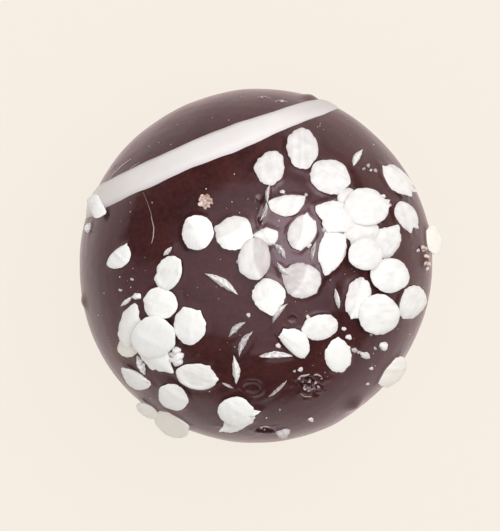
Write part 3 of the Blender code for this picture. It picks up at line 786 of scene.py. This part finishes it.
def flake_shell(flake, settings):
    """Rings of one thin flake, top side first, with their shades and its creaminess."""
    angle = spoke_angles(FLAKE_SPOKES)
    out = np.sin(np.arange(1, FLAKE_RINGS + 1) * math.pi / 2 / FLAKE_RINGS)
    share = np.concatenate((out, FLAKE_UNDER_SHARES))[:, None]
    is_top = np.arange(len(share))[:, None] < FLAKE_RINGS
    along, across = flake.local(share, angle)
    x, y = turned(along, across, flake.turn)
    flat = points_of(x, y, 0.0)
    body = 1.0 - (1.0 - flake.flatness) * share ** 2 - flake.flatness * share ** FLAT_POWER
    shade = flake.shade - EDGE_SOAK * share ** SOAK_POWER
    shade = shade + SHADE_MOTTLE * ripple(flat, SHADE_MOTTLE_LENGTH, flake.seed)
    if flake.relief == "dish":
        rim = bell(share - DISH_RIM_AT, DISH_RIM_WIDTH)
        rim = rim * (DISH_RIM_MIDDLE + DISH_RIM_UNEVEN * np.cos(angle - flake.rim_heading))
        top = settings.flake_height * (DISH_BODY_SHARE * body + DISH_RIM_SHARE * rim)
        # Painted shade: the hollow middle of the dish is darker
        shade = shade - DISH_PAINTED_SHADE * (1.0 - share ** 2)
    elif flake.relief == "dome":
        fold = turned(x, y, -flake.fold_heading)[1] / (flake.width / 2) - flake.fold_offset
        top = settings.flake_height * body + FLAKE_FOLD * body * (bell(fold, FOLD_WIDTH) - FOLD_BASE)
    else:
        ahead, side = turned(x, y, -math.radians(flake.relief))
        side = side / (flake.width / 2) - CREASE_BEND * (ahead / (flake.length / 2)) ** 2
        crease = CREASE_RISE - CREASE_FALL * np.sqrt(side ** 2 + CREASE_SOFT ** 2)
        top = settings.flake_height * body * crease
        # Painted light and shade: one side of the crease is lighter and the other darker
        shade = shade - CREASE_PAINTED_SHADE_STEP * np.tanh(side / CREASE_SHADE_STEP_WIDTH)
        # Painted highlight along the crease line
        shade = shade + CREASE_PAINTED_HIGHLIGHT * bell(side + CREASE_HIGHLIGHT_WIDTH, CREASE_HIGHLIGHT_WIDTH)
    fibres = ripple(points_of(along * FIBRE_STRETCH, across, 0.0), FIBRE_SPACING, flake.seed)
    relief = FIBRE_HEIGHT * fibres + FLAKE_MOTTLE_HEIGHT * ripple(flat, FLAKE_MOTTLE_LENGTH, flake.seed + 1)
    top = top + FLAKE_EDGE + relief * (1.0 - share ** RELIEF_FADE_POWER)
    under = -FLAKE_EDGE - (FLAKE_UNDER + FLAKE_UNDER_LIFT * flake.lift(0.0)) * (1.0 - share ** 2)
    height = np.where(is_top, top, under) + flake.lift(settings.flake_lift)
    height = height + along * flake.tipped[0] + across * flake.tipped[1]
    height = height + flake.curl * (along * across) / flake.width
    for n, size, phase in flake.warps:
        height = height + FLAKE_WARP * size * share ** 3 * np.cos(n * angle + phase)
    height = height - (x ** 2 + y ** 2) / (2 * RADIUS) * settings.flake_hug
    return flake.seat.points(x, y, height), shade + FIBRE_SHADE * fibres, flake.cream


def sliver_shell(spec):
    """Rings of a thin flake that stands on edge, seen from above as a spindle, and their shades."""
    x, y, length, width, turn, bend, shade = spec
    rng = random.Random(int(abs(x * SLIVER_SEEDS[0] + y * SLIVER_SEEDS[1])))
    ragged = edge_wave(rng, SLIVER_RAGGED)
    angle = spoke_angles(SLIVER_SPOKES)
    share = np.arange(1, SLIVER_RINGS + 1)[:, None] / SLIVER_RINGS
    share = np.concatenate((share, share[::-1][1:]))
    side = np.ones(share.shape)
    side[SLIVER_RINGS:] = -1.0
    reach = share * (1.0 + ragged(angle))
    along = reach * np.cos(angle)
    up = reach * np.sin(angle)
    grain = ripple(points_of(along, up, side), SLIVER_GRAIN_LENGTH, rng.randrange(SEED_RANGE))
    thick = np.clip(1.0 - share ** 2, 0.0, 1.0) * (1.0 - SLIVER_TAPER * along ** 2)
    thick = thick * (1.0 + SLIVER_GRAIN * grain)
    across = side * thick * width * MM / 2 + bend * length * MM * (1.0 - along ** 2)
    stands = min(SLIVER_STANDS, SLIVER_SLENDER * width * MM)
    height = np.where(up > 0.0, up * stands, up * SLIVER_SUNK)
    offsets = turned(along * length * MM / 2, across, math.radians(turn))
    return Seat(x * MM, y * MM).points(*offsets, height), shade + SLIVER_MOTTLE * grain


def thread_shell(corners, radius):
    """Rings of a thin round thread laid on the ball along corners in mm, tapering at both ends."""
    corners = np.array(corners) * MM
    steps = np.linspace(0, len(corners) - 1, THREAD_STATIONS)
    path = np.stack([np.interp(steps, range(len(corners)), line) for line in corners.T])
    padded = np.pad(path, ((0, 0), (THREAD_SMOOTH // 2,) * 2), mode="edge")
    window = np.ones(THREAD_SMOOTH) / THREAD_SMOOTH
    path = np.stack([np.convolve(line, window, mode="valid") for line in padded])
    ahead = np.gradient(path, axis=1)
    sides = np.stack((-ahead[1], ahead[0])) / np.hypot(*ahead)
    angle = spoke_angles(THREAD_SPOKES)[0]
    rings = []
    for number, (place, side) in enumerate(zip(path.T, sides.T)):
        thick = radius * math.sin(math.pi * (number + 0.5) / THREAD_STATIONS) ** THREAD_TAPER
        out = np.cos(angle) * thick
        height = thick * (THREAD_SHOWS - np.sin(angle))
        rings.append(Seat(*place).points(out * side[0], out * side[1], height))
    return np.array(rings)[::-1]


def lump_shell(seat, width, rng, tall, spokes, rings):
    """Rings of a small uneven lump on its seat."""
    angle = spoke_angles(spokes)
    polar = np.arange(1, rings + 1)[:, None] * math.pi / (rings + 1)
    rough = 1.0
    for n in CHANCE_WAVES:
        size = rng.uniform(*LUMP_ROUND) / n ** RAGGED_FALL
        rough = rough + size * np.cos(n * angle + rng.uniform(*LUMP_PHASES)) * np.sin(polar)
        size = rng.uniform(*LUMP_DOWN)
        rough = rough + size * np.cos(n * polar + rng.uniform(*LUMP_PHASES)) * np.sin(polar)
    out = rough * np.sin(polar)
    x = out * np.cos(angle) * width / 2
    y = out * np.sin(angle) * width / 2 * rng.uniform(*LUMP_ACROSS)
    return seat.points(x, y, rough * np.cos(polar) * (width * tall))


def spiral_seats(x, y, radius, count):
    """Seats in a spiral about a place, each with its share of the way out. Lengths in mm."""
    for number in range(count):
        share = math.sqrt(number / count)
        heading = number * GOLDEN_ANGLE
        across = x + radius * share * math.cos(heading)
        yield Seat(across * MM, (y + radius * share * math.sin(heading)) * MM), share


# Shader helpers

def fill(tree, node, inputs):
    """Link or set a node's inputs. A value is an output of a node, a number or a colour."""
    for key, value in inputs.items():
        if isinstance(value, bpy.types.NodeSocket):
            tree.links.new(value, node.inputs[key])
        else:
            node.inputs[key].default_value = value if isinstance(value, (int, float)) else (*value, 1.0)


def new_node(tree, kind, inputs, output=0, **options):
    """An output of a new node with its inputs filled."""
    node = tree.nodes.new(kind)
    for name, value in options.items():
        setattr(node, name, value)
    fill(tree, node, inputs)
    return node.outputs[output]


def calculate(tree, operation, first, second):
    """The sum, difference or product of two masks or numbers."""
    return new_node(tree, "ShaderNodeMath", {0: first, 1: second}, operation=operation)


def mixed(tree, factor, first, second):
    """A mix of two colours by a mask."""
    return new_node(tree, "ShaderNodeMix", {0: factor, 6: first, 7: second}, 2, data_type="RGBA")


def tint(tree, name):
    """The value of a tint that the mesh holds at its points."""
    return new_node(tree, "ShaderNodeAttribute", {}, "Fac", attribute_name=name)


def ramp(tree, mask, stops):
    """A colour ramp over (position, colour) stops."""
    colour = new_node(tree, "ShaderNodeValToRGB", {"Fac": mask})
    elements = colour.node.color_ramp.elements
    while len(elements) < len(stops):
        elements.new(0.5)
    for element, (position, shade) in zip(elements, stops):
        element.position = position
        element.color = (*shade, 1.0)
    return colour


def ranged(tree, mask, low, high):
    """A mask's usual range mapped to low and high."""
    reach = {"Value": mask, "From Min": MASK_LOW, "From Max": MASK_HIGH, "To Min": low, "To Max": high}
    return new_node(tree, "ShaderNodeMapRange", reach)


def scaled(colour, share):
    """A colour made darker or lighter."""
    return [channel * share for channel in colour]


def grain_group():
    """Node group: fine grain and soft clouds over the surface, as two masks from 0 to 1."""
    group = bpy.data.node_groups.get("Grain and clouds")
    if group:
        return group
    group = bpy.data.node_groups.new("Grain and clouds", "ShaderNodeTree")
    for name, _, _ in NOISES:
        for side, socket in (("INPUT", name + " scale"), ("OUTPUT", name)):
            group.interface.new_socket(name=socket, in_out=side, socket_type="NodeSocketFloat")
    given = group.nodes.new("NodeGroupInput").outputs
    masks = group.nodes.new("NodeGroupOutput")
    place = group.nodes.new("ShaderNodeTexCoord").outputs["Object"]
    for name, detail, roughness in NOISES:
        inputs = {"Vector": place, "Scale": given[name + " scale"], "Detail": detail, "Roughness": roughness}
        fill(group, masks, {name: new_node(group, "ShaderNodeTexNoise", inputs)})
    return group


def new_material(name):
    """A new material, its node tree and its Principled shader."""
    material = bpy.data.materials.new(name)
    material.use_nodes = True
    return material, material.node_tree, material.node_tree.nodes["Principled BSDF"]


def textured(name):
    """A new material with grain in its relief, its tree and shader, and its masks of grain and clouds."""
    material, tree, shader = new_material(name)
    grain_scale, cloud_scale, height, strength = TEXTURES[name]
    scales = {"Grain scale": grain_scale, "Clouds scale": cloud_scale}
    grain = new_node(tree, "ShaderNodeGroup", scales, node_tree=grain_group())
    relief = {"Height": grain, "Distance": height, "Strength": strength}
    fill(tree, shader, {"Normal": new_node(tree, "ShaderNodeBump", relief)})
    return material, tree, shader, grain, grain.node.outputs["Clouds"]


def chocolate_material(settings):
    material, tree, shader, grain, clouds = textured("Dark chocolate")
    mottled = calculate(tree, "MULTIPLY", calculate(tree, "ADD", clouds, grain), 0.5)
    stops = [(position, scaled(settings.colour, share)) for position, share in CHOCOLATE_STOPS]
    fill(tree, shader, {
        "Base Color": ramp(tree, mottled, stops),
        "Roughness": ranged(tree, mottled, *scaled(CHOCOLATE_ROUGHNESS, settings.roughness)),
        "IOR": settings.gloss,
        "Specular Tint": settings.gloss_tint,
        "Sheen Weight": settings.bloom,
        "Sheen Roughness": BLOOM_ROUGHNESS,
        "Sheen Tint": settings.bloom_colour,
    })
    return material


def white_material(settings):
    material, tree, shader, grain, clouds = textured("White chocolate")
    body = ramp(tree, clouds, [(position, scaled(settings.colour, share)) for position, share in WHITE_STOPS])
    fill(tree, shader, {
        "Base Color": mixed(tree, tint(tree, "shade"), settings.edge_colour, body),
        "Roughness": ranged(tree, grain, *WHITE_ROUGHNESS),
    })
    return material


def coconut_material(settings):
    material, tree, shader, grain, clouds = textured("Coconut")
    spread = calculate(tree, "MULTIPLY", clouds, 2 * COCONUT_MOTTLE)
    spread = calculate(tree, "ADD", spread, calculate(tree, "MULTIPLY", grain, 2 * COCONUT_GRAIN))
    spread = calculate(tree, "ADD", spread, tint(tree, "shade"))
    spread = calculate(tree, "SUBTRACT", spread, COCONUT_MOTTLE + COCONUT_GRAIN)
    colours = (settings.soaked_colour, settings.shaded_colour, settings.colour)
    shaded = ramp(tree, spread, list(zip(COCONUT_STOPS, colours)))
    fill(tree, shader, {
        "Base Color": mixed(tree, tint(tree, "cream"), shaded, settings.cream_colour),
        "Roughness": ranged(tree, clouds, *COCONUT_ROUGHNESS),
    })
    return material


def cloudy_material(name, stops, roughness):
    """A material whose colour follows its clouds and whose roughness follows its grain."""
    material, tree, shader, grain, clouds = textured(name)
    finish = {"Base Color": ramp(tree, clouds, stops), "Roughness": ranged(tree, grain, *roughness)}
    fill(tree, shader, finish)
    return material


def tan_material(settings):
    dark = [channel ** 2 * TAN_DARK for channel in settings.crumb_colour]
    stops = list(zip(TAN_STOPS, (dark, settings.crumb_colour)))
    return cloudy_material("Toasted crumb", stops, TAN_ROUGHNESS)


def shared_coconut(settings):
    """The coconut's material, made once for all its pieces."""
    return bpy.data.materials.get("Coconut") or coconut_material(settings)


# Settings

def colour_setting(name, description, *default):
    return bpy.props.FloatVectorProperty(
        name=name, description=description, default=default, subtype="COLOR", size=3, min=0.0, max=1.0)


def length_setting(name, description, default):
    return bpy.props.FloatProperty(
        name=name, description=description, default=default, unit="LENGTH", precision=5)


def amount_setting(name, description, default, most=1.0):
    return bpy.props.FloatProperty(name=name, description=description, default=default, min=0.0, max=most)


class ChocolateSettings(bpy.types.PropertyGroup):
    """Coat of the ball."""

    colour: colour_setting("Chocolate", "Colour of the dark chocolate", 0.047, 0.0122, 0.0105)
    gloss_tint: colour_setting("Gloss tint", "Tint of the coat's reflections", 0.93, 0.78, 0.90)
    bloom: amount_setting("Bloom", "Strength of the dull bloom seen at flat angles", 0.20)
    bloom_colour: colour_setting("Bloom colour", "Colour of the bloom", 1.0, 0.50, 0.76)
    gloss: amount_setting("Gloss", "Index of refraction of the coat", 1.58, 2.5)
    roughness: amount_setting("Roughness", "Roughness of the coat", 0.23)
    undulation: length_setting("Undulation", "Height of the coat's slow waves", 0.018 * MM)
    undulation_length: length_setting("Wave length", "Distance between the slow waves", 6.0 * MM)
    fillet_height: length_setting("Fillet height", "How far the coat climbs at a flake", 0.07 * MM)
    fillet_width: length_setting("Fillet width", "Width of the climb at a flake", 0.22 * MM)


class StripeSettings(bpy.types.PropertyGroup):
    """White stripe."""

    colour: colour_setting("White chocolate", "Colour of the stripe", 0.885, 0.845, 0.835)
    # The thin edge colour also gives the painted shade at the stripe's far end
    edge_colour: colour_setting("Thin edge", "Colour where the stripe runs out thin", 0.43, 0.37, 0.40)
    half_width: length_setting("Half width", "Half the stripe's width seen from above", 1.16 * MM)
    height: length_setting("Height", "How far the stripe stands out", 0.22 * MM)


class CoconutSettings(bpy.types.PropertyGroup):
    """Flakes, slivers and crumbs."""

    colour: colour_setting("Coconut", "Colour of a white flake", 0.95, 0.945, 0.92)
    shaded_colour: colour_setting("Thin coconut", "Colour where a flake is thin", 0.57, 0.505, 0.51)
    soaked_colour: colour_setting("Soaked coconut", "Colour where the coat soaks a flake", 0.16, 0.09, 0.085)
    cream_colour: colour_setting("Creamy coconut", "Colour of flakes that turned creamy", 0.98, 0.92, 0.83)
    crumb_colour: colour_setting("Toasted crumb", "Colour of the toasted crumb", 0.90, 0.71, 0.64)
    flake_height: length_setting("Flake height", "Rise of a flake's middle over its edge", 0.20 * MM)
    flake_lift: length_setting("Flake lift", "Height of a flake's edge over the coat", 0.12 * MM)
    flake_hug: amount_setting("Hug", "How far a flake bends to the ball, from 0 to 1", 0.8)
    specks: bpy.props.IntProperty(
        name="Specks", description="Number of fine specks of coconut dust", default=SPECK_COUNT, min=0)


class StageSettings(bpy.types.PropertyGroup):
    """Floor, light and camera."""

    floor_colour: colour_setting("Floor", "Colour of the floor", 0.922, 0.855, 0.768)
    floor_glow: amount_setting("Floor glow", "Share of the floor's brightness that needs no light", 0.93)
    view_height: length_setting("View", "Height of the field of view at the widest level", 45.1 * MM)
    distance: length_setting("Distance", "Camera's height over the candy's widest level", 375 * MM)
    lamp_distance: length_setting("Light distance", "Distance of the soft lights", 0.5)
    broad_radiance: amount_setting("Broad light", "Brightness of the broad soft light", 0.90, 10.0)
    core_radiance: amount_setting("Core light", "Brightness of the smaller soft light", 3.5, 10.0)
    fill_radiance: amount_setting("Fill lights", "Brightness of the two low soft lights", 0.52, 10.0)
    sky: amount_setting("Sky", "Brightness of the surroundings", 0.08, 10.0)


class CANDY_OT_chocolate_ball(bpy.types.Operator):
    """Build the ball of dark chocolate"""

    bl_idname = "candy.chocolate_ball"
    bl_label = "Chocolate ball"

    def execute(self, context):
        settings = context.scene.candy_chocolate
        ball = Shells()
        crown = ball_points(0.0, 0.0)
        ball.add(ball_rings(settings), poles=(crown, np.zeros(3)))
        ball.made("chocolate_ball", chocolate_material(settings))
        return {"FINISHED"}


class CANDY_OT_white_stripe(bpy.types.Operator):
    """Build the stripe of white chocolate"""

    bl_idname = "candy.white_stripe"
    bl_label = "White stripe"

    def execute(self, context):
        settings = context.scene.candy_stripe
        stripe = Shells()
        stripe.add(*stripe_rings(settings.half_width, settings.height))
        stripe.made("white_stripe", white_material(settings))
        return {"FINISHED"}


class CANDY_OT_coconut_flakes(bpy.types.Operator):
    """Build the coconut flakes that lie on the chocolate"""

    bl_idname = "candy.coconut_flakes"
    bl_label = "Coconut flakes"

    def execute(self, context):
        settings = context.scene.candy_coconut
        flakes = Shells()
        for index, spec in enumerate(FLAKES):
            flakes.add(*flake_shell(Flake(index, spec), settings))
        flakes.made("coconut_flakes", shared_coconut(settings))
        return {"FINISHED"}


class CANDY_OT_coconut_slivers(bpy.types.Operator):
    """Build the slivers, which are flakes on edge"""

    bl_idname = "candy.coconut_slivers"
    bl_label = "Coconut slivers"

    def execute(self, context):
        slivers = Shells()
        for spec in SLIVERS:
            slivers.add(*sliver_shell(spec))
        slivers.made("coconut_slivers", shared_coconut(context.scene.candy_coconut))
        return {"FINISHED"}


class CANDY_OT_crumbs(bpy.types.Operator):
    """Build the crumbs, the fine specks, the toasted crumbs and the sugar in the pits"""

    bl_idname = "candy.crumbs"
    bl_label = "Crumbs and specks"

    def execute(self, context):
        settings = context.scene.candy_coconut
        rng = random.Random(SEED + 1)
        crumbs = Shells()
        for x, y, width in CRUMBS:
            lump = lump_shell(Seat(x * MM, y * MM), width * MM, rng, *CRUMB_LUMP)
            crumbs.add(lump, rng.uniform(*(CRUMB_SHADES if width > SMALL_CRUMB else SMALL_CRUMB_SHADES)))
        crumbs.made("coconut_crumbs", shared_coconut(settings))

        specks = Shells()
        for _ in range(settings.specks):
            out = RADIUS * math.sqrt(rng.uniform(0.0, SPECK_AREA))
            heading = rng.uniform(0.0, math.tau)
            width = rng.uniform(*SPECK_WIDTHS) * MM
            seat = Seat(out * math.cos(heading), out * math.sin(heading))
            specks.add(lump_shell(seat, width, rng, *SPECK_LUMP), rng.uniform(*SPECK_SHADES))
        specks.made("coconut_specks", shared_coconut(settings))

        toasted = Shells()
        for x, y, width, grains in TAN_CRUMBS:
            for seat, share in spiral_seats(x, y, TAN_SPREAD * width, grains):
                size = rng.uniform(*TAN_GRAIN)
                seat.centre = seat.centre + seat.normal * size * (1.0 - TAN_DROP * share)
                toasted.add(lump_shell(seat, size, rng, *GRAIN_LUMP))
        toasted.made("toasted_crumb", tan_material(settings))

        sugar = Shells()
        for x, y, size, depth in CRYSTALS:
            seat = Seat(x * MM, y * MM)
            seat.centre = seat.centre - seat.normal * depth * MM
            sugar.add(lump_shell(seat, size * MM, rng, *CRYSTAL_LUMP))
        crystal = cloudy_material("Sugar crystal", SUGAR_STOPS, SUGAR_ROUGHNESS)
        sugar.made("sugar_crystals", crystal, smooth=False)
        return {"FINISHED"}


class CANDY_OT_threads(bpy.types.Operator):
    """Build the threads: coconut hairs, and light threads on seams of the coat and rims of a bubble and of
    the pits, which are painted highlights
    """

    bl_idname = "candy.threads"
    bl_label = "Threads"

    def execute(self, context):
        threads = Shells()
        # The first two threads are coconut hairs; the others are painted highlights on the coat's seams and
        # rims
        for width, shade, cream, corners in THREADS:
            threads.add(thread_shell(corners, width * MM / 2), shade, cream)
        threads.made("coconut_hairs_and_glints", shared_coconut(context.scene.candy_coconut))
        return {"FINISHED"}


class CANDY_OT_stage(bpy.types.Operator):
    """Build the floor, the soft light and the camera above"""

    bl_idname = "candy.stage"
    bl_label = "Stage"

    def execute(self, context):
        settings = context.scene.candy_stage
        build_floor(settings)
        build_lights(settings)
        build_camera(settings)
        view = context.scene.view_settings
        view.view_transform = "Standard"
        view.look = "None"
        return {"FINISHED"}


def build_floor(settings):
    bpy.ops.mesh.primitive_plane_add(size=FLOOR_SIZE, location=(0.0, 0.0, 0.0))
    floor = bpy.context.object
    floor.name = "floor"
    material, tree, shader = new_material("Pale floor")
    fill(tree, shader, {
        "Base Color": scaled(settings.floor_colour, 1.0 - settings.floor_glow),
        "Roughness": FLOOR_ROUGHNESS,
        "Specular IOR Level": 0.0,
        "Emission Color": settings.floor_colour,
        "Emission Strength": settings.floor_glow,
    })
    floor.data.materials.append(material)


def build_lights(settings):
    for name, radiance, size, tilt, heading in LAMPS:
        out = math.sin(math.radians(tilt))
        turn = math.radians(heading)
        aim = Vector((out * math.cos(turn), out * math.sin(turn), math.cos(math.radians(tilt))))
        lamp = bpy.data.lights.new(name, "AREA")
        lamp.shape = "DISK"
        lamp.size = size
        lamp.energy = getattr(settings, radiance) * math.pi * math.pi * (size / 2) ** 2
        light = bpy.data.objects.new(name, lamp)
        light.location = aim * settings.lamp_distance
        light.rotation_euler = aim.to_track_quat("Z", "Y").to_euler()
        bpy.context.scene.collection.objects.link(light)
    world = bpy.data.worlds.new("surroundings")
    world.use_nodes = True
    background = world.node_tree.nodes["Background"]
    fill(world.node_tree, background, {"Color": SKY_COLOUR, "Strength": settings.sky})
    bpy.context.scene.world = world


def build_camera(settings):
    data = bpy.data.cameras.new("camera above")
    data.sensor_width = SENSOR
    data.lens = SENSOR * settings.distance / settings.view_height
    data.clip_start = CLIP_START
    camera = bpy.data.objects.new("camera above", data)
    camera.location = (*VIEW_MIDDLE, WIDEST + settings.distance)
    bpy.context.scene.collection.objects.link(camera)
    bpy.context.scene.camera = camera


class CANDY_PT_panel(bpy.types.Panel):
    """Lists the pieces of the candy"""

    bl_idname = "CANDY_PT_panel"
    bl_label = "Coconut candy"
    bl_space_type = "VIEW_3D"
    bl_region_type = "UI"
    bl_category = "Candy"

    def draw(self, context):
        for name, group, operators in GROUPS:
            box = self.layout.box()
            for setting in group.__annotations__:
                box.prop(getattr(context.scene, name), setting)
            for operator in operators:
                box.operator(operator.bl_idname)


GROUPS = (
    ("candy_chocolate", ChocolateSettings, (CANDY_OT_chocolate_ball,)),
    ("candy_stripe", StripeSettings, (CANDY_OT_white_stripe,)),
    ("candy_coconut", CoconutSettings,
     (CANDY_OT_coconut_flakes, CANDY_OT_coconut_slivers, CANDY_OT_crumbs, CANDY_OT_threads)),
    ("candy_stage", StageSettings, (CANDY_OT_stage,)),
)
CLASSES = (*(item for _, group, row in GROUPS for item in (group, *row)), CANDY_PT_panel)


def register():
    for item in CLASSES:
        bpy.utils.register_class(item)
    for name, group, _ in GROUPS:
        setattr(bpy.types.Scene, name, bpy.props.PointerProperty(type=group))


def unregister():
    for name, _, _ in GROUPS:
        delattr(bpy.types.Scene, name)
    for item in reversed(CLASSES):
        bpy.utils.unregister_class(item)


def main():
    register()
    bpy.ops.candy.chocolate_ball()
    bpy.ops.candy.white_stripe()
    bpy.ops.candy.coconut_flakes()
    bpy.ops.candy.coconut_slivers()
    bpy.ops.candy.crumbs()
    bpy.ops.candy.threads()
    bpy.ops.candy.stage()


if __name__ == "__main__":
    main()
